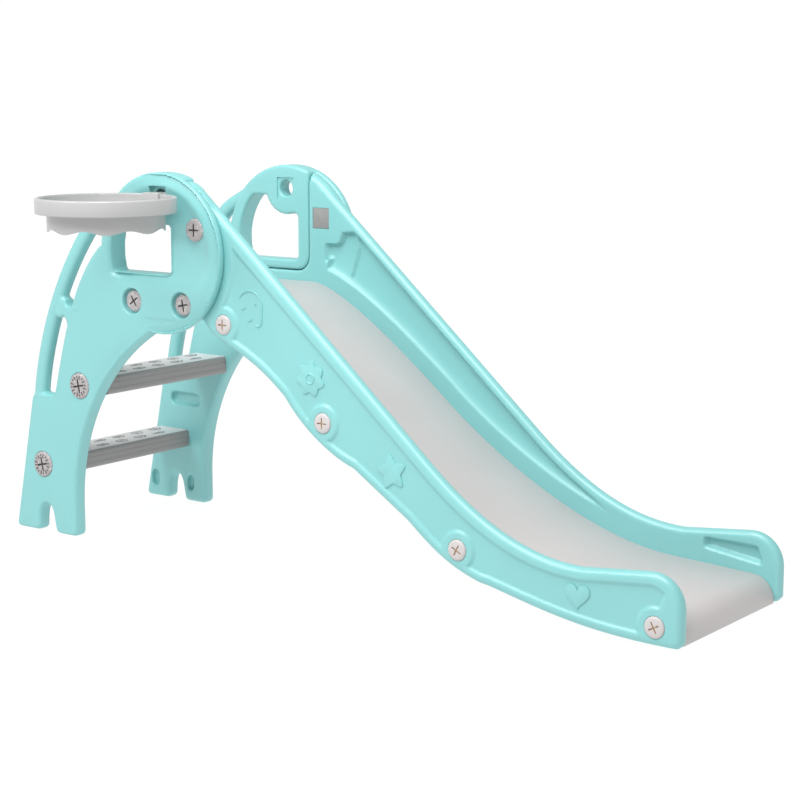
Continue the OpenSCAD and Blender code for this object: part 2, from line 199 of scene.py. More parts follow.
def spaced(points, gap=1.6):
    """The closed outline without points that lie closer together than the gap."""
    kept = [points[0]]
    for point in points[1:]:
        if (point - kept[-1]).length >= gap:
            kept.append(point)
    while (kept[-1] - kept[0]).length < gap:
        kept.pop()
    return kept


def rounded(points, radius, sharp=30):
    """The closed outline with its sharp corners rounded."""
    result = []
    for i, point in enumerate(points):
        before = points[i - 1] - point
        after = points[(i + 1) % len(points)] - point
        turn = math.pi - before.angle(after)
        if turn < math.radians(sharp):
            result.append(point)
            continue
        reach = min(radius * math.tan(turn / 2), before.length * 0.48, after.length * 0.48)
        start = point + before.normalized() * reach
        end = point + after.normalized() * reach
        result += bez(start, start.lerp(point, 0.6), end.lerp(point, 0.6), end, 6)
    return result


def away_from(points, path):
    """The distance from each side-view point to a path."""
    distance = np.full(len(points), 1e9)
    for start, end in zip(path[:-1], path[1:]):
        start, step = np.array(start), np.array(end - start)
        share = np.clip(((points - start) @ step) / (step @ step), 0, 1)
        away = points - (start + share[:, None] * step)
        distance = np.minimum(distance, np.hypot(away[:, 0], away[:, 1]))
    return distance


def inside_by(points, outline):
    """How far each side-view point lies inside a closed outline; negative outside."""
    distance = away_from(points, outline + outline[:1])
    crossings = np.zeros(len(points), int)
    for start, end in zip(outline, outline[1:] + outline[:1]):
        if start.y != end.y:
            spans = (start.y > points[:, 1]) != (end.y > points[:, 1])
            at_x = start.x + (points[:, 1] - start.y) * (end.x - start.x) / (end.y - start.y)
            crossings += spans & (points[:, 0] < at_x)
    return np.where(crossings % 2 == 1, distance, -distance)


def ease(values):
    t = np.clip(values, 0, 1)
    return t * t * (3 - 2 * t)


# ---------- modelling ----------

def at(x, depth, z):
    return Vector((REAR + x * MM, NEAR + depth * MM, z * MM))


def only(*pieces):
    bpy.ops.object.select_all(action="DESELECT")
    for piece in pieces:
        piece.select_set(True)
    bpy.context.view_layer.objects.active = pieces[0]


def modify(piece, kind, **settings):
    only(piece)
    bpy.ops.object.modifier_add(type=kind)
    modifier = piece.modifiers[-1]
    for name, value in settings.items():
        setattr(modifier, name, value)
    bpy.ops.object.modifier_apply(modifier=modifier.name)


def roll_edges(piece, radius, steps=4, sharp=50):
    modify(piece, "BEVEL", width=radius * MM, segments=steps, limit_method="ANGLE",
           angle_limit=math.radians(sharp), use_clamp_overlap=False)


def joined(name, pieces):
    only(*pieces)
    bpy.ops.object.join()
    bpy.context.object.name = name
    return bpy.context.object


def cut(piece, cutter, keep=False):
    mode = "TRANSFER" if cutter.data.materials else "INDEX"
    modify(piece, "BOOLEAN", operation="DIFFERENCE", solver="EXACT", material_mode=mode, object=cutter)
    if not keep:
        bpy.data.objects.remove(cutter)


def outward(piece):
    only(piece)
    bpy.ops.object.mode_set(mode="EDIT")
    bpy.ops.mesh.select_all(action="SELECT")
    bpy.ops.mesh.remove_doubles(threshold=0.01 * MM)
    bpy.ops.mesh.normals_make_consistent(inside=False)
    bpy.ops.object.mode_set(mode="OBJECT")


def slab(name, outline, outer, inner, roll=0.0, steps=4):
    """A board with a side-view outline, from one depth to another, its edges rolled over."""
    bpy.ops.object.select_all(action="DESELECT")
    bpy.ops.mesh.primitive_circle_add(vertices=len(outline), radius=1, fill_type="NGON")
    board = bpy.context.object
    board.name = name
    for vertex, point in zip(board.data.vertices, outline):
        vertex.co = at(point.x, outer, point.y)
    bpy.ops.object.mode_set(mode="EDIT")
    bpy.ops.mesh.select_all(action="SELECT")
    bpy.ops.mesh.extrude_region_move(TRANSFORM_OT_translate={"value": (0, (inner - outer) * MM, 0)})
    bpy.ops.object.mode_set(mode="OBJECT")
    outward(board)
    if roll:
        roll_edges(board, roll, steps)
    return board


def turned(name, centre, profile, axis, steps=64):
    """A solid of revolution. The profile's points are (radius, place along the axis) in millimetres."""
    bpy.ops.object.select_all(action="DESELECT")
    bpy.ops.mesh.primitive_circle_add(vertices=len(profile), radius=1, fill_type="NOTHING")
    solid = bpy.context.object
    solid.name = name
    for vertex, (r, along) in zip(solid.data.vertices, profile):
        vertex.co = centre + Vector((r * MM, 0, 0)) + Vector(axis) * along * MM
    bpy.ops.object.mode_set(mode="EDIT")
    bpy.ops.mesh.select_all(action="SELECT")
    bpy.ops.mesh.spin(steps=steps, angle=math.tau, center=centre, axis=axis)
    bpy.ops.object.mode_set(mode="OBJECT")
    outward(solid)
    return solid


def block(name, low, high, roll=0.0, steps=3):
    """A box between two corners, with its edges rolled over."""
    bpy.ops.object.select_all(action="DESELECT")
    bpy.ops.mesh.primitive_cube_add(size=1, location=(0, 0, 0))
    box = bpy.context.object
    box.name = name
    for vertex in box.data.vertices:
        vertex.co = [high[i] if vertex.co[i] > 0 else low[i] for i in range(3)]
    if roll:
        roll_edges(box, roll, steps)
    return box


def moulded(name, bodies):
    """One hollow-moulded shell from overlapping bodies, with soft edges where they meet."""
    shell = joined(name, bodies)
    modify(shell, "REMESH", mode="VOXEL", voxel_size=VOXEL, adaptivity=0)
    modify(shell, "SMOOTH", factor=0.5, iterations=SMOOTHING)
    return shell


def press(shell, depth, depth_of, inwards=1):
    """Presses a flat face in at one depth, by what depth_of gives for side-view points."""
    mesh = shell.data
    count = len(mesh.vertices)
    places = np.zeros(count * 3)
    mesh.vertices.foreach_get("co", places)
    places = places.reshape(-1, 3)
    normals = np.zeros(count * 3)
    mesh.vertices.foreach_get("normal", normals)
    normals = normals.reshape(-1, 3)
    plane = NEAR + depth * MM
    near_face = (np.abs(places[:, 1] - plane) < 0.7 * MM) & (normals[:, 1] * inwards < -0.8)
    points = (places[near_face][:, [0, 2]] - (REAR, 0)) / MM
    places[near_face, 1] += inwards * depth_of(points) * MM
    mesh.vertices.foreach_set("co", places.ravel())
    mesh.update()


def mirrored(piece, name):
    """The same piece on the left side."""
    only(piece)
    bpy.ops.object.duplicate()
    copy = bpy.context.object
    copy.name = name
    for vertex in copy.data.vertices:
        vertex.co.y = 2 * MIDDLE - vertex.co.y
    bpy.ops.object.mode_set(mode="EDIT")
    bpy.ops.mesh.select_all(action="SELECT")
    bpy.ops.mesh.flip_normals()
    bpy.ops.object.mode_set(mode="OBJECT")
    return copy


def wire(name, points, depth, thickness, closed=True):
    """A thin raised line on a side face, along side-view points."""
    return raised_line(name, [at(p.x, depth, p.y) for p in points], thickness, closed)


def raised_line(name, places, thickness, closed=True):
    bpy.ops.object.select_all(action="DESELECT")
    bpy.ops.curve.primitive_nurbs_path_add()
    line = bpy.context.object
    line.name = name
    curve = line.data
    curve.splines.clear()
    spline = curve.splines.new("POLY")
    spline.points.add(len(places) - 1)
    for point, place in zip(spline.points, places):
        point.co = (*place, 1)
    spline.use_cyclic_u = closed
    curve.dimensions = "3D"
    curve.bevel_depth = thickness / 2 * MM
    curve.bevel_resolution = 2
    curve.use_fill_caps = True
    bpy.ops.object.convert(target="MESH")
    return bpy.context.object


def smooth(piece, angle=35):
    only(piece)
    bpy.ops.object.shade_smooth_by_angle(angle=math.radians(angle))


# ---------- outlines ----------

SLIDE_TOP = (
    [Vector((STRIP_X, DECK))]
    + bez(chute(0, 1), chute(0.067, 1), chute(0.230, 0.737), chute(0.312, 0.597))
    + bez(chute(0.325, 0.574), chute(0.433, 0.391), chute(0.631, 0.134), chute(0.801, 0.119), 30)
    + [chute(0.950, 0.102)]
)
LIP_R = 40
LIP_C = SLIDE_TOP[-1] - Vector((0, LIP_R))
BED_TOP = SLIDE_TOP + arc(LIP_C, LIP_R, 75, 0, 16) + [Vector((LIP_C.x + LIP_R, 3))]
RAIL_START = DISC + DISC_R * 0.985 * heading(55)
NOSE_R = 55
NOSE_C = Vector((LENGTH - NOSE_R, 117 - NOSE_R))
VALLEY = 105
RAIL_TOP = (
    [RAIL_START]
    + bez(chute(0.507, 0.514), chute(0.600, 0.344), Vector((chute(0.696, 0).x, VALLEY)),
          Vector((chute(0.814, 0).x, VALLEY)))
    + arc(NOSE_C, NOSE_R, 95, 0)
)
RAIL_UNDER = (
    bez(chute(0.039, 0.873), chute(0.089, 0.809), chute(0.128, 0.807), chute(0.207, 0.667), 14)
    + bez(chute(0.214, 0.650), chute(0.241, 0.577), chute(0.297, 0.478), chute(0.360, 0.437), 14)
    + bez(chute(0.477, 0.280), chute(0.522, 0.202), chute(0.558, 0.144), chute(0.623, 0.106), 14)
    + bez(chute(0.640, 0.101), chute(0.756, 0.045), chute(0.826, 0.006), chute(0.980, 0.006), 14)
)


def bed_point(fx, rise):
    """A point near the middle of the bed's edge, raised a little, at a share of the chute's run."""
    x = chute(fx, 0).x
    z = height_at(BED_TOP, x)
    slope = (height_at(BED_TOP, x + 5) - z) / 5
    return Vector((x, z + rise)) + BED_T / 2 * Vector((slope, -1)).normalized()


RAIL_SCREWS = {
    "top": bed_point(0.080, -3), "upper": bed_point(0.307, 3.5),
    "lower": bed_point(0.587, 1), "front": bed_point(0.955, 0),
}


SHOULDER = Vector((DISC.x * 0.136, DECK * 0.548))


def leg_outline():
    """Both feet with the notch between them, the curved leg and the part behind the disc."""
    arc_low = DECK * 0.13
    arc_end = DISC - Vector((22, DISC_R - 1))
    span = arc_end - Vector((FOOT, arc_low))
    r = span.length_squared / (2 * span.x)
    centre = Vector((FOOT + r, arc_low))
    reach = math.degrees(math.acos((centre.x - arc_end.x) / r))
    notch_x, notch_w, notch_h = FOOT * 0.4, 43, 54
    top = Vector((notch_x + notch_w / 2, notch_h))
    notch = bez(
        Vector((notch_x + notch_w, 0)), Vector((notch_x + notch_w * 0.86, notch_h * 0.6)),
        top + Vector((notch_w * 0.34, 0)), top, 10,
    ) + bez(
        top - Vector((3, 0)), top - Vector((notch_w * 0.36, 0)),
        Vector((notch_x, notch_h * 0.7)), Vector((notch_x, 0)), 10,
    )
    return spaced(
        [Vector((0, 0)), SHOULDER, SHOULDER + Vector((8, 8))]
        + bez(SHOULDER + Vector((60, 9)), SHOULDER + Vector((87, 109)),
              DISC + Vector((-225, -61)), DISC + Vector((-150, 7)))
        + [DISC]
        + arc(centre, r, 180 - reach, 180, 30)
        + [Vector((FOOT, 0))]
        + notch
    )


def handrail_path():
    joint = DISC + Vector((-186, 30))
    lean = heading(125)
    end = DISC + (DISC_R - HANDRAIL / 2) * lean
    return (
        [SHOULDER + Vector((11, -26))]
        + bez(SHOULDER + Vector((16, 0)), SHOULDER + Vector((18, 20)), DISC + Vector((-301, -112)), joint)
        + bez(joint + Vector((9, 11)), joint + Vector((28, 35)), end - Vector((46, 32)), end, 12)
        + [end - lean * 14 + Vector((16, 0))]
    )


def window_outline():
    right, low, flat, lobe = DISC.x + 29, DISC.y - 36, DISC.y + 52, DISC.y + 85
    hump_r = SOCKET_W * 1.2
    hump_start = 360 + math.degrees(math.asin((flat - SOCKET.y) / hump_r))
    hump_end = 180 - math.degrees(math.asin((lobe - SOCKET.y) / hump_r))
    low_angle = 180 + math.degrees(math.asin(36 / DISH_R))
    lobe_angle = 180 - math.degrees(math.asin(85 / DISH_R))
    return rounded(spaced(
        [Vector((right, low)), Vector((right, flat))]
        + arc(SOCKET, hump_r, hump_start, hump_end, 20)
        + arc(DISC, DISH_R, lobe_angle, low_angle, 24)
    ), 9)


def insert_outline(disc_r):
    """The part of the disc that is full depth, with the handle window in it."""
    top = math.degrees(math.acos((INSERT_X - DISC.x) / disc_r))
    low = 180 + math.degrees(math.asin((DISC.y - INSERT_Z) / disc_r))
    return spaced(arc(DISC, disc_r, top, low, 60) + arc(INSERT_CORNER, INSERT_R, -90, 0, 12))


def plate_outline(grow=0.0):
    """The part of the rail beside the platform, behind the disc and up to the insert."""
    return (
        [Vector((STRIP_X - grow, STRIP_Z - grow)), Vector((STRIP_X - grow, INSERT_Z - SEAM + grow))]
        + arc(INSERT_CORNER, INSERT_R + SEAM - grow, -90, 0, 12)
        + arc(DISC, PLATE_R + grow, PLATE_START, 55, 6)
    )


def rail_outline():
    seam_x = INSERT_X + SEAM
    return spaced(
        [Vector((seam_x, INSERT_Z + 40))]
        + arc(DISC, PLATE_R, PLATE_START, 56, 4)
        + RAIL_TOP
        + [Vector((LENGTH, 12)), Vector((LENGTH - 9, 3))]
        + RAIL_UNDER[::-1]
        + [Vector((DISC.x + 92, STRIP_Z - 9)), Vector((DISC.x + 84, STRIP_Z)), Vector((seam_x, STRIP_Z))]
    )


def slot_between(a, b, w):
    turn = math.degrees(math.atan2(b.y - a.y, b.x - a.x))
    return arc(b, w / 2, turn - 90, turn + 90, 10) + arc(a, w / 2, turn + 90, turn + 270, 10)


# ---------- ladder panels ----------

def pocket(centre, r, depth, flare):
    """A round cutter from the outer face, wider at its rim and softened at its floor."""
    profile = [(0, -6), (r + flare + 2, -6), (r + flare, -0.01)]
    for i in range(1, 7):
        a = math.radians(15 * i)
        profile.append((r + flare * (1 - math.sin(a)), flare * (1 - math.cos(a))))
    profile += [(r, depth - 1), (r - 1, depth), (0, depth)]
    return turned("pocket", at(centre.x, 0, centre.y), profile, (0, 1, 0), 48)


def disc_relief(points):
    """How deep the outer face lies: a dish, a softly crowned rim and a flare at the window's rear."""
    away = points - np.array(DISC)
    r = np.hypot(away[:, 0], away[:, 1])
    in_disc = r < DISC_R + 2
    dish = DISH * ease((DISH_R + 6 - r) / 20) * ease((points[:, 1] - DISH_FROM) / 34)
    crown = CROWN * ease((r - DISH_R) / CROWN_W) * ease((points[:, 0] - DISC.x + 60) / 90)
    window = inside_by(points, window_outline())
    flare = WINDOW_FLARE * ease((window + 13) / 13) * ease((WINDOW_FLARE_END - points[:, 0]) / 50)
    return np.where(in_disc, dish + crown + flare, 0)


def leg_relief(points):
    """The outer face of the legs, very slightly crowned like a blown wall."""
    legs = inside_by(points, leg_outline())
    return LEG_CROWN * (1 - ease(legs / LEG_CROWN_W)) * (points[:, 1] < LEG_CROWN_TOP)


def ladder_panel():
    window = slab("window", window_outline(), -CLEAR, SIDE + CLEAR)
    plate = slab("plate", plate_outline(0.6) + [Vector((560, 600)), Vector((560, STRIP_Z - 0.6))],
                 SKIN, SIDE + CLEAR)
    legs = slab("legs", leg_outline(), 0, LEG_T, 9)
    cut(legs, plate)
    for a, b, w in (
        (Vector((FOOT * 0.54, DECK * 0.447)), Vector((FOOT * 0.87, DECK * 0.447)), 25),
        (Vector((FOOT * 0.4 - 37, 32)), Vector((FOOT * 0.4 - 37, 46)), 19),
        (Vector((FOOT - 38, 32)), Vector((FOOT - 38, 46)), 17),
    ):
        cut(legs, slab("recess", slot_between(a, b, w), LEG_T - LEG_RECESS, LEG_T + CLEAR))
    path = handrail_path()
    half = HANDRAIL / 2
    handrail = slab("handrail", spaced(shifted(path, half) + shifted(path, -half)[::-1]), 2, HANDRAIL, 11, 5)
    along = heading(BRACE_TURN)
    over = Vector((-along.y, along.x))
    brace = slab("brace", rectangle(BRACE_AT, 24, 20, along, over), 2, HANDRAIL, 5)
    for end in (-1, 1):
        cut(brace, slab("slot_end", circle(BRACE_AT + over * end * 21, SLOT_END_R, 32), -CLEAR, SIDE))
    bodies = [
        legs, handrail, brace,
        slab("skin", circle(DISC, DISC_R, 120), 0, SKIN, 4.5),
        slab("head", insert_outline(DISC_R), 0, SIDE, 4.5),
        slab("seam", insert_outline(DISC_R - 12), 14, SIDE, 2.5),
    ]
    for body in bodies:
        if body is not legs:
            cut(body, window, keep=True)
    cut(legs, window)
    panel = moulded("ladder_panel_right", bodies)
    press(panel, 0, disc_relief)
    press(panel, 0, leg_relief)
    cutters = [pocket(p, 23, POCKET, 3) for p in LOW_SCREWS]
    cutters += [pocket(p, 24.6, STEP_SCREW["seat"], 1) for p in STEPS_AT.values()]
    cutters.append(pocket(HIGH_SCREW, 20.4, DISH + 0.6, 1))
    square = rounded(rectangle(SOCKET, SOCKET_W / 2, SOCKET_W / 2), 2.5)
    cutters.append(slab("socket", square, -8, SOCKET_DEPTH))
    cutters.append(slab("socket", square, SIDE - INNER_SOCKET_DEPTH, SIDE + CLEAR))
    cutters.append(pocket(VENT, 1.6, 4, 0.8))
    cut(panel, joined("cutters", cutters))
    r, mouth = SOCKET_HOLE / 2, SIDE - INNER_SOCKET_DEPTH
    profile = [(0, -CLEAR), (r, -CLEAR)]
    for i in range(6):
        a = math.radians(18 * i)
        profile.append((r + HOLE_FLARE * (1 - math.cos(a)), mouth - HOLE_FLARE * (1 - math.sin(a))))
    profile += [(r + HOLE_FLARE, SIDE + CLEAR), (0, SIDE + CLEAR)]
    cut(panel, turned("hole", at(SOCKET.x, 0, SOCKET.y), profile, (0, 1, 0), 48))
    smooth(panel, 40)
    return panel


# ---------- slide rails ----------

def raised_shape(outline, depth):
    """A flat raised figure on the outer face of a rail, standing proud of the field."""
    return slab("figure", outline, depth - FIGURE_RISE, depth + 3, 0.9, 2)


def figures():
    """Plain figures pressed into the rail's outer face: a face, a flower, a star and a heart."""
    floor = SKIN + FIELD
    lean = 0.3
    petals = []
    for i in range(96):
        a = math.tau * i / 96
        r = 27 + 3.6 * math.cos(7 * (a + lean))
        petals.append(FLOWER_AT + r * Vector((math.cos(a), math.sin(a))))
    made = [raised_shape(petals, floor),
            wire("eye", circle(FLOWER_AT, 8.5, 32), floor - FIGURE_RISE, 3)]
    star = [STAR_AT + (18 if i % 2 else 35) * heading(100 + 36 * i) for i in range(10)]
    made.append(raised_shape(rounded(star, 5), floor))
    heart = []
    for i in range(64):
        a = math.tau * i / 64
        x = 16 * math.sin(a) ** 3
        z = 13 * math.cos(a) - 5 * math.cos(2 * a) - 2 * math.cos(3 * a) - math.cos(4 * a)
        heart.append(HEART_AT + 1.42 * Vector((x, z)))
    made.append(raised_shape(spaced(heart), floor))
    cheek = [FACE_AT + Vector(step) for step in ((26, -10), (28, -28), (22, -38), (13, -31))]
    lines = [arc(FACE_AT, FACE_R, 150, -20, 30) + bez(*cheek, 10)]
    for dx, dz, turn, span in ((-14, -4, 25, 5), (12, 4, 80, 1.2), (0, -24, 20, 5)):
        mark, along = FACE_AT + Vector((dx, dz)), heading(turn)
        lines.append([mark - along * span, mark, mark + along * span])
    made += [wire("face_line", line, floor - 0.3, 3.2, closed=False) for line in lines]
    return made


def outer_field(points):
    """The recessed field inside the raised border, with a round boss left about each screw."""
    edge = arc(DISC, DISC_R + 14, -38, 8, 14)
    end = LENGTH - 1.5 * BORDER
    top = part_of(shifted(RAIL_TOP, -BORDER), edge[-1].x + 4, end)
    under = part_of(shifted(RAIL_UNDER, BORDER - 3), edge[0].x + 4, end)
    field = ease(inside_by(points, spaced(edge + top + under[::-1])) / 6)
    for place in RAIL_SCREWS.values():
        away = points - np.array(place)
        field = field * ease((np.hypot(away[:, 0], away[:, 1]) - BOSS_R + 3) / 6)
    return FIELD * field


def inner_field(points):
    """The long recess between the top edge and the ridge above the bed, and the recess by the nose."""
    rib = [Vector((556, 575)), Vector((561, 540)), Vector((546, 490))]
    end = chute(0.70, 0).x
    ridge = part_of(shifted(SLIDE_TOP, 27), 484, end)
    edge = shifted(RAIL_TOP, -12)
    top = [Vector((556, height_at(edge, 556)))] + part_of(edge, 557, chute(0.62, 0).x)
    start = [ridge[0], Vector((484, 546)), Vector((518, 546)), Vector((534, 586))]
    recess = rounded(start, 9) + top + ridge[::-1]
    bank = 1 - np.exp(2 / RIDGE_W - np.hypot(away_from(points, ridge), 2) / RIDGE_W)
    depth = WEDGE * ease(inside_by(points, spaced(recess)) / 7) * bank
    depth = depth * (1 - 0.5 * ease(1 - away_from(points, rib) / 5))
    nose = rounded([Vector((1290, 76)), Vector((1405, 60)), Vector((1392, 96)), Vector((1290, 99))], 8)
    return np.maximum(depth, WEDGE * ease(inside_by(points, nose) / 9))


def slide_rail():
    strip = [Vector((STRIP_X, STRIP_Z)), Vector((STRIP_X, INSERT_Z - SEAM))]
    plate = spaced(
        strip + arc(INSERT_CORNER, INSERT_R + SEAM, -90, 0, 12)
        + [Vector((INSERT_X + SEAM, DISC.y + DISC_R - 28)), Vector((INSERT_X + 16, DISC.y + DISC_R - 32)),
           Vector((560, 560)), Vector((560, 445)), Vector((500, 440)), Vector((470, STRIP_Z))]
    )
    backing = arc(DISC, PLATE_R, PLATE_START, -20, 24) + [Vector((INSERT_X + SEAM, INSERT_Z))]
    bodies = [
        slab("beam", rail_outline(), SKIN, SIDE, 10.5, 5),
        slab("plate", plate, SKIN, SIDE, 2.5),
        slab("backing", spaced(backing), SKIN, SKIN + 13),
    ]
    rail = moulded("slide_rail_right", bodies)
    press(rail, SKIN, outer_field)
    press(rail, SIDE, inner_field, -1)
    w = NUT_W / 2 + 0.4
    seats = [slab("nut_seat", rectangle(HIGH_SCREW, w, w), SIDE - NUT_T, SIDE + CLEAR)]
    for place in RAIL_SCREWS.values():
        seat = pocket(place, 17.9, 2, 0.8)
        for vertex in seat.data.vertices:
            vertex.co.y += SKIN * MM
        seats.append(seat)
    cut(rail, joined("seats", seats))
    rail = joined("slide_rail_right", [rail] + figures())
    smooth(rail, 40)
    return rail


# ---------- bed and steps ----------

def slide_bed():
    outline = spaced(BED_TOP + shifted(BED_TOP, -BED_T)[::-1], 1.0)
    bed = slab("slide_bed_board", outline, SIDE, WIDTH - SIDE, 1.6, 2)
    smooth(bed, 40)
    return bed


def tread_figures(step, top):
    """Rows of plain raised outlines on a tread: rings, leaves, clouds and waves."""
    lines = []
    for row, (forward, offset) in enumerate([(-17, 0), (17, 0.5)]):
        for i in range(6):
            across = LEG_T + 30 + (i + offset) * TREAD_PITCH
            if across > WIDTH - LEG_T - 22:
                continue
            kind = (i + 2 * row) % 4
            places = []
            for k in range(40):
                a = math.tau * k / 40
                u, v = math.cos(a), math.sin(a)
                if kind == 0:
                    du, dv = 13 * u, 9 * v
                elif kind == 1:
                    r = 10.5 + 2 * math.cos(5 * a)
                    du, dv = r * u * 1.25, r * v * 0.8
                elif kind == 2:
                    du, dv = 15 * u, 8 * v * (0.55 + 0.45 * u)
                else:
                    du, dv = 13 * u + 3 * v * v, 7.5 * v + 1.5 * math.sin(3 * a)
                places.append(at(step.x + forward + dv, across + du, top - 0.5))
            lines.append(raised_line("figure", places, 2.4))
            inner = [at(step.x + forward + 3 * math.sin(math.tau * k / 16),
                        across + 4.5 * math.cos(math.tau * k / 16), top - 0.5) for k in range(16)]
            lines.append(raised_line("figure", inner, 1.8))
    for line in lines:
        line.data.materials.append(TREAD_GREY)
    return lines


def step_board(which):
    middle = STEPS_AT[which]
    x, z, r = STEP_D / 2 - 7, STEP_T / 2 - 7, 7
    outline = []
    for sx, sz, start in ((1, 1, 0), (-1, 1, 90), (-1, -1, 180), (1, -1, 270)):
        outline += arc(middle + Vector((sx * x, sz * z)), r, start, start + 90, 8)
    board = slab(f"{which}_step_board", spaced(outline, 0.5), LEG_T - 0.5, WIDTH - LEG_T + 0.5)
    front = middle.x + STEP_D / 2
    grooves = [block("groove", at(front - 0.6, LEG_T - 2, middle.y + h - 1.4),
                     at(front + 2, WIDTH - LEG_T + 2, middle.y + h + 1.4)) for h in (-5.5, 5.5)]
    for groove in grooves:
        cut(board, groove)
    board.data.materials.append(STEP_GREY)
    board.data.materials.append(TREAD_SPECKLE_AND_PAINTED_TOP_LIGHT)
    # Faces that look up take the lighter tread colour: painted top light.
    for face in board.data.polygons:
        if face.normal.z > 0.9:
            face.material_index = 1
    board = joined(f"{which}_step_board", [board] + tread_figures(middle, middle.y + STEP_T / 2))
    smooth(board, 35)
    return board


# ---------- screws and nuts ----------

def screw(name, place, kind, seat, length, plastic_kind, turn=0, marks=False):
    """A big plastic screw: domed head with a cross recess, and its shank."""
    body, shade = plastic_kind
    r = kind["head"] / 2
    profile = [(0, -HEAD_T), (r - 6, -HEAD_T), (r - 3, -HEAD_T + 0.5), (r - 1, -HEAD_T + 1.5),
               (r - 0.15, -HEAD_T + 2.8), (r, -HEAD_T + 3.6), (r, 0), (kind["shank"] / 2, 0),
               (kind["shank"] / 2, length), (0, length)]
    centre = at(place.x, seat, place.y)
    made = turned(name, centre, profile, (0, 1, 0), 64)
    made.data.materials.append(body)
    arm, half = kind["head"] * 0.28, kind["head"] * 0.045
    for quarter in (0, 90):
        along, over = heading(turn + quarter), heading(turn + quarter + 90)
        outline = [place + along * arm + over * half * 0.7, place + over * half,
                   place - along * arm + over * half * 0.7, place - along * arm - over * half * 0.7,
                   place - over * half, place + along * arm - over * half * 0.7]
        slot = slab("slot", outline, seat - HEAD_T - 2, seat - HEAD_T + 3.2)
        # The cutter's dark second colour passes to the cross recess: painted shade in the recess.
        slot.data.materials.append(shade)
        cut(made, slot)
    if marks:
        parts = [made]
        for i in range(8):
            out = heading(turn + 22.5 + 45 * i)
            side = Vector((-out.y, out.x))
            mark = place + out * (r - 8)
            outline = [mark + out * 3.4 - side * 1.1, mark + out * 3.4 + side * 1.1,
                       mark - out * 3.4 + side * 1.1, mark - out * 3.4 - side * 1.1]
            parts.append(slab("mark", outline, seat - HEAD_T - 0.6, seat - HEAD_T + 1))
            outline = [mark + side * 7 + out * 2, mark + side * 7 - out * 2,
                       mark + side * 5 - out * 2, mark + side * 5 + out * 2]
            parts.append(slab("mark", outline, seat - HEAD_T - 0.6, seat - HEAD_T + 1))
        for part in parts[1:]:
            part.data.materials.append(shade)
        made = joined(name, parts)
    smooth(made, 35)
    return made


def square_nut():
    outline = rounded(rectangle(HIGH_SCREW, NUT_W / 2, NUT_W / 2), 1.5)
    nut = slab("panel_nut_right_plate", outline, SIDE - NUT_T, SIDE - 0.2, 0.7, 2)
    ridge = slab("ridge", rectangle(HIGH_SCREW, 3, 12), SIDE - 3, SIDE - 0.05, 0.4, 2)
    nut = joined("panel_nut_right_plate", [nut, ridge])
    smooth(nut, 35)
    return nut


# ---------- hoop ----------

def hoop_ring():
    """The band and, below its ledge, the skirt with its scalloped foot."""
    r, top, inner = RING_R, RING_TOP, RING_R - HOOP_WALL
    low = top - BAND_H
    foot = low - SKIRT_H
    skirt_inner = SKIRT_R - SKIRT_WALL
    profile = [(r - 1.6, low), (r - 0.4, low + 0.8), (r, low + 2.2), (r, top - 3.2), (r - 0.4, top - 1.6),
               (r - 1.3, top - 0.5), (r - 2.6, top), (inner + 2, top), (inner + 0.7, top - 0.5),
               (inner + 0.1, top - 1.8), (inner, top - 4), (inner, low + 7),
               (inner - 0.6, low + 5.6), (inner - 2, low + 5),
               (skirt_inner + 2, low + 5), (skirt_inner + 0.5, low + 4.4), (skirt_inner, low + 3)]
    profile += [(skirt_inner, low + 3 - (low + 3 - foot - 1) * i / 6) for i in range(1, 7)]
    profile += [(skirt_inner + 0.7, foot + 0.2), (skirt_inner + 2, foot), (SKIRT_R - 0.7, foot + 0.2),
                (SKIRT_R, foot + 1)]
    profile += [(SKIRT_R, foot + 1 + (low - 1.5 - foot - 1) * i / 6) for i in range(1, 7)]
    profile += [(SKIRT_R + 0.4, low - 0.4), (SKIRT_R + 1.5, low)]
    ring = turned("hoop_ring_moulding", RING_C, profile, (0, 0, 1), 192)
    for vertex in ring.data.vertices:
        away = vertex.co - RING_C
        if math.hypot(away.x, away.y) > (SKIRT_R + 1) * MM or vertex.co.z > (low - 0.2) * MM:
            continue
        a = math.atan2(away.y, away.x)
        share = ((low - 0.2) * MM - vertex.co.z) / (SKIRT_H * MM)
        vertex.co.z += LOBE_RISE * MM * (0.5 - 0.5 * math.cos(LOBES * a)) * min(1, share)
    smooth(ring, 40)
    return ring


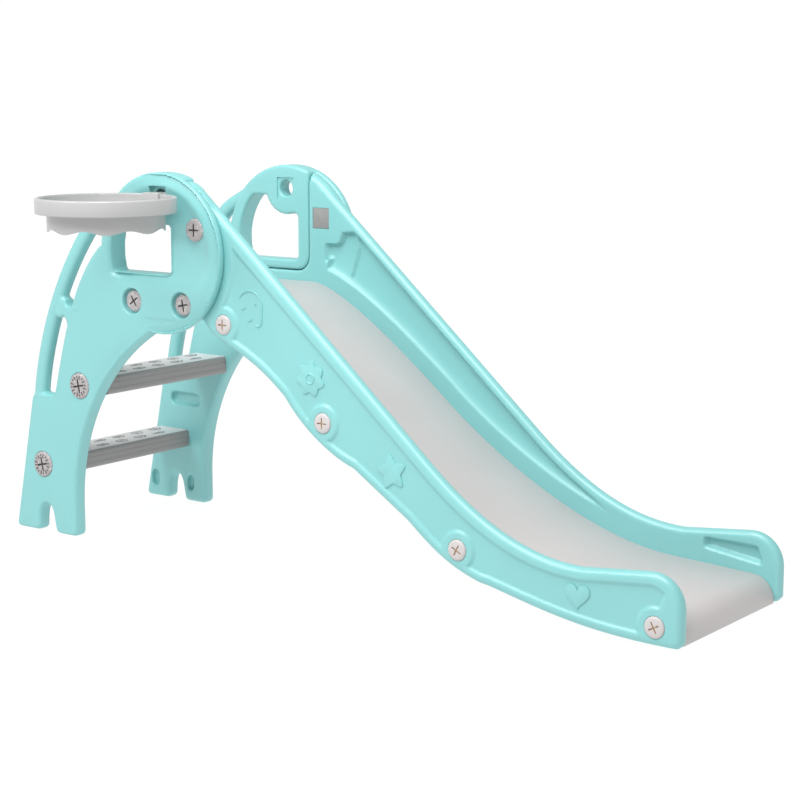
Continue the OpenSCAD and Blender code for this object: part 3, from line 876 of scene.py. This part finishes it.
def hoop_bracket():
    """Plug and peg for the socket, level on top, and a clip over the ring's wall."""
    low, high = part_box("hoop_bracket")
    top = high.z / MM
    half_plug = SOCKET_W / 2 - 0.4
    half_arm = half_plug - 2
    plug = block("plug", at(SOCKET.x - half_plug, 0.2, SOCKET.y - half_plug),
                 at(SOCKET.x + half_plug, SOCKET_DEPTH - 0.4, top), 1.5)
    arm = block("arm", Vector((at(SOCKET.x - half_arm, 0, 0).x, low.y, low.z)),
                at(SOCKET.x + half_arm, 4, top), 1.2)
    wall_top, wall_foot = RING_TOP + 0.2, RING_TOP - BAND_H - 0.2
    wall_out, wall_in = RING_R + 0.2, RING_R - HOOP_WALL - 0.2
    cut(arm, turned("wall", RING_C, [(wall_out, wall_foot), (wall_out, wall_top),
                                     (wall_in, wall_top), (wall_in, wall_foot)], (0, 0, 1), 192))
    ledge_top = RING_TOP - BAND_H + 5.2
    cut(arm, turned("ledge", RING_C, [(RING_R - 3, wall_foot), (RING_R - 3, ledge_top),
                                      (SKIRT_R - 8, ledge_top), (SKIRT_R - 8, wall_foot)], (0, 0, 1), 192))
    peg_r = SOCKET_HOLE / 2 - 0.4
    peg = turned("peg", at(SOCKET.x, 0, SOCKET.y),
                 [(0, SOCKET_DEPTH - 2), (peg_r, SOCKET_DEPTH - 2), (peg_r, SIDE - 6),
                  (peg_r - 2, SIDE - 4), (0, SIDE - 4)], (0, 1, 0), 48)
    cut(peg, block("level", at(SOCKET.x - 30, -CLEAR, top - 0.2), at(SOCKET.x + 30, SIDE + CLEAR, top + 30)))
    bracket = joined("hoop_bracket_clip", [plug, arm, peg])
    smooth(bracket, 35)
    return bracket


# ---------- materials ----------

def linear(red, green, blue):
    """Linear colour from the 0-255 values of a colour chart."""
    result = []
    for value in (red, green, blue):
        value /= 255
        result.append(value / 12.92 if value <= 0.04045 else ((value + 0.055) / 1.055) ** 2.4)
    return (*result, 1)


def noise(nodes, links, places, size, detail):
    texture = nodes.new("ShaderNodeTexNoise")
    texture.inputs["Scale"].default_value = size
    texture.inputs["Detail"].default_value = detail
    links.new(places.outputs["Object"], texture.inputs["Vector"])
    return texture.outputs["Fac"]


def plastic(name, colour, roughness, grain=0.05, mottle=0.02, uneven=0.03, level=0.5, speckle=None):
    """Moulded plastic: faint colour variation, a fine surface grain and slightly uneven gloss."""
    material = bpy.data.materials.new(name)
    material.use_nodes = True
    nodes, links = material.node_tree.nodes, material.node_tree.links
    shader = nodes["Principled BSDF"]
    shader.inputs["IOR"].default_value = 1.5
    shader.inputs["Specular IOR Level"].default_value = level
    places = nodes.new("ShaderNodeTexCoord")
    ramp = nodes.new("ShaderNodeValToRGB")
    ramp.color_ramp.elements[0].position = 0.3
    ramp.color_ramp.elements[1].position = 0.7
    ramp.color_ramp.elements[0].color = (*[c * (1 - mottle) for c in colour[:3]], 1)
    ramp.color_ramp.elements[1].color = (*[min(1, c * (1 + mottle)) for c in colour[:3]], 1)
    links.new(noise(nodes, links, places, 9, 3), ramp.inputs["Fac"])
    colour_out = ramp.outputs["Color"]
    if speckle:
        size, share, dot_colour = speckle
        edge = nodes.new("ShaderNodeMapRange")
        edge.inputs["From Min"].default_value = share
        edge.inputs["From Max"].default_value = share + 0.07
        links.new(noise(nodes, links, places, size, 1), edge.inputs["Value"])
        mix = nodes.new("ShaderNodeMix")
        mix.data_type = "RGBA"
        links.new(edge.outputs["Result"], mix.inputs["Factor"])
        links.new(colour_out, mix.inputs["A"])
        mix.inputs["B"].default_value = dot_colour
        colour_out = mix.outputs["Result"]
    links.new(colour_out, shader.inputs["Base Color"])
    gloss = nodes.new("ShaderNodeMapRange")
    gloss.inputs["To Min"].default_value = roughness - uneven
    gloss.inputs["To Max"].default_value = roughness + uneven
    links.new(noise(nodes, links, places, 35, 2), gloss.inputs["Value"])
    links.new(gloss.outputs["Result"], shader.inputs["Roughness"])
    bump = nodes.new("ShaderNodeBump")
    bump.inputs["Strength"].default_value = grain
    bump.inputs["Distance"].default_value = 0.0006
    links.new(noise(nodes, links, places, 900, 2), bump.inputs["Height"])
    links.new(bump.outputs["Normal"], shader.inputs["Normal"])
    return material


# A speckle is its scale, the share of the noise above which it shows, and its colour.
AQUA = plastic("aqua_polyethylene", (0.225, 0.555, 0.555, 1), 0.36, level=0.8)
BED_GREY = plastic("bed_polyethylene", (0.53, 0.508, 0.503, 1), 0.38, grain=0.03)
STEP_GREY = plastic("step_polyethylene", linear(146, 145, 145), 0.42, grain=0.08)
# Partly painted top light: the step tops are a much lighter grey than the fronts, standing in for the light
# falling on them. The light speckles are the tread's own grain.
TREAD_SPECKLE_AND_PAINTED_TOP_LIGHT = plastic("step_tread_speckle_and_painted_top_light", linear(208, 207, 207), 0.42, grain=0.12,
                    speckle=(420, 0.6, linear(232, 232, 232)))
TREAD_GREY = plastic("step_tread_figures", linear(118, 118, 118), 0.5)
HOOP_GREY = plastic("hoop_polypropylene", linear(175, 175, 175), 0.24, grain=0.01, mottle=0.01, uneven=0.01)
SCREW_GREY = plastic("screw_plastic", linear(168, 162, 162), 0.4, speckle=(260, 0.58, linear(196, 190, 190)))
# Painted shade: the cross recesses of the grey screws are coloured dark in place of the shade inside them.
# The same dark colour also goes on the raised marks of the step screws.
SCREW_RECESS_PAINTED_SHADE = plastic("screw_recess_painted_shade", linear(96, 92, 92), 0.5)
RAIL_SCREW_WHITE = plastic("rail_screw_plastic", linear(198, 193, 192), 0.4)
# Painted shade: the rail screws' cross recesses are coloured a darker warm brown in place of the shade and
# warm bounce light inside them.
CROSS_PAINTED_SHADE = plastic("rail_screw_recess_painted_shade", linear(205, 184, 160), 0.5)


def put(piece, body, material, slot, *nodes):
    if not piece.data.materials:
        piece.data.materials.append(material)
    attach(piece, body)
    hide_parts(*nodes)


# ---------- the object ----------

def make_sides():
    """Both ladder panels, both rails and everything screwed to them."""
    reach = SIDE + GRIP
    greys, whites = (SCREW_GREY, SCREW_RECESS_PAINTED_SHADE), (RAIL_SCREW_WHITE, CROSS_PAINTED_SHADE)
    made = [
        (ladder_panel(), "ladder_panel", AQUA, "aqua_plastic", "ladder_panel"),
        (slide_rail(), "slide_rail", AQUA, "aqua_plastic", "slide_rail"),
        (square_nut(), "panel_nut", STEP_GREY, "step_plastic", "panel_nut"),
        (screw("high", HIGH_SCREW, PANEL_SCREW, DISH, SIDE - DISH - 3, greys),
         "upper_panel_screw", SCREW_GREY, "screw_plastic", "upper_panel_screw"),
        (joined("low", [screw("low", p, PANEL_SCREW, POCKET, reach - POCKET, greys, turn)
                        for p, turn in zip(LOW_SCREWS, (35, 12))]),
         "lower_panel_screws", SCREW_GREY, "screw_plastic", "lower_panel_screws"),
    ]
    for which, place in STEPS_AT.items():
        made.append((
            screw(which, place, STEP_SCREW, STEP_SCREW["seat"], LEG_T + GRIP - 2, greys, 12, marks=True),
            f"{which}_step_screw", SCREW_GREY, "screw_plastic", f"{which}_step_screw"))
    turns = {"top": 0, "upper": 0, "lower": 62, "front": 28}
    for which, place in RAIL_SCREWS.items():
        seat = RAIL_SCREW["seat"]
        made.append((
            screw(which, place, RAIL_SCREW, seat, reach - seat, whites, turns[which]),
            f"{which}_rail_screw", RAIL_SCREW_WHITE, "rail_screw_plastic", f"{which}_rail_screw"))
    for piece, name, material, slot, node in made:
        other = mirrored(piece, f"{name}_left_side")
        piece.name = f"{name}_right_side"
        put(piece, "slide", material, slot, f"{RIGHT}_{node}")
        put(other, "slide", material, slot, f"{LEFT}_{node}")


def make_middle():
    put(slide_bed(), "slide", BED_GREY, "bed_plastic", "slide_bed")
    for which in STEPS_AT:
        put(step_board(which), "slide", STEP_GREY, "step_plastic", f"{which}_step")
    put(hoop_ring(), "hoop", HOOP_GREY, "hoop_plastic", "hoop_ring")
    put(hoop_bracket(), "hoop", HOOP_GREY, "hoop_plastic", "hoop_bracket")


# ---------- studio ----------

def make_camera():
    bpy.ops.object.camera_add(location=(2.0496, -2.5649, 0.8602),
                              rotation=(math.radians(80.432), 0, math.radians(36.530)))
    camera = bpy.context.object
    camera.data.lens = 87.42
    camera.data.sensor_width = 36
    camera.data.clip_end = 60
    bpy.context.scene.camera = camera


def soft_light(name, place, target, size, watts):
    bpy.ops.object.light_add(type="AREA", location=place)
    light = bpy.context.object
    light.name = name
    light.data.size = size
    light.data.energy = watts
    light.rotation_euler = (Vector(target) - Vector(place)).to_track_quat("-Z", "Y").to_euler()


def make_studio():
    bpy.ops.mesh.primitive_plane_add(size=24, location=(0, 0, -0.0005))
    floor = bpy.context.object
    floor.name = "studio_floor"
    paper = bpy.data.materials.new("studio_paper")
    paper.use_nodes = True
    shader = paper.node_tree.nodes["Principled BSDF"]
    shader.inputs["Base Color"].default_value = (0.05, 0.05, 0.05, 1)
    shader.inputs["Roughness"].default_value = 0.9
    shader.inputs["Emission Color"].default_value = (1, 1, 1, 1)
    shader.inputs["Emission Strength"].default_value = 0.95
    floor.data.materials.append(paper)
    world = bpy.data.worlds.new("studio_air")
    bpy.context.scene.world = world
    world.use_nodes = True
    nodes, links = world.node_tree.nodes, world.node_tree.links
    direction = nodes.new("ShaderNodeTexCoord")
    split = nodes.new("ShaderNodeSeparateXYZ")
    links.new(direction.outputs["Generated"], split.inputs["Vector"])
    height = nodes.new("ShaderNodeMapRange")
    height.inputs["From Min"].default_value = 0.05
    height.inputs["From Max"].default_value = 0.2
    height.inputs["To Min"].default_value = 1.02
    height.inputs["To Max"].default_value = 0.55
    links.new(split.outputs["Z"], height.inputs["Value"])
    links.new(height.outputs["Result"], nodes["Background"].inputs["Strength"])
    nodes["Background"].inputs["Color"].default_value = (1, 1, 1, 1)
    soft_light("overhead", (0.35, -0.9, 2.5), (0.1, 0.1, 0.3), 1.8, 60)
    soft_light("key", (-1.3, -2.3, 2.5), (0, 0.1, 0.3), 1.0, 36)
    view = bpy.context.scene.view_settings
    view.view_transform = "Standard"
    view.look = "None"


make_camera()
make_sides()
make_middle()
make_studio()
bpy.context.view_layer.update()
